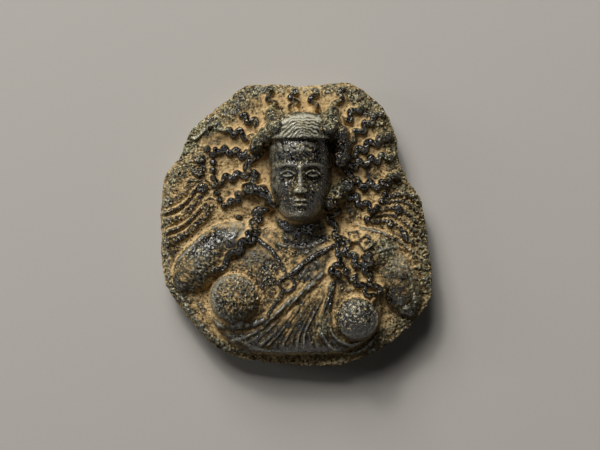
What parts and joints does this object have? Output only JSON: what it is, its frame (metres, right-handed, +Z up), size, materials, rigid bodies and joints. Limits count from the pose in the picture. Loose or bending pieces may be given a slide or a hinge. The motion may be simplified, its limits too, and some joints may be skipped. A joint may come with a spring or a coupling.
{
  "type": "relief roundel",
  "caption": "Small broken round stone plaque with a winged female bust in high relief, ringed by wavy locks of hair like rays; flat back to be fixed to a wall.",
  "frame": {"origin": "middle of the flat back, where the roundel is fixed to a wall", "axes": "+Z up, +X to the viewer's right, -Y out of the wall towards the viewer"},
  "size_m": [0.1033, 0.0338, 0.1081],
  "materials": {
    "schist": "worn dark schist, soil in its recesses"
  },
  "bodies": {
    "root": {"relief_roundel": "schist"}
  },
  "joints": []
}
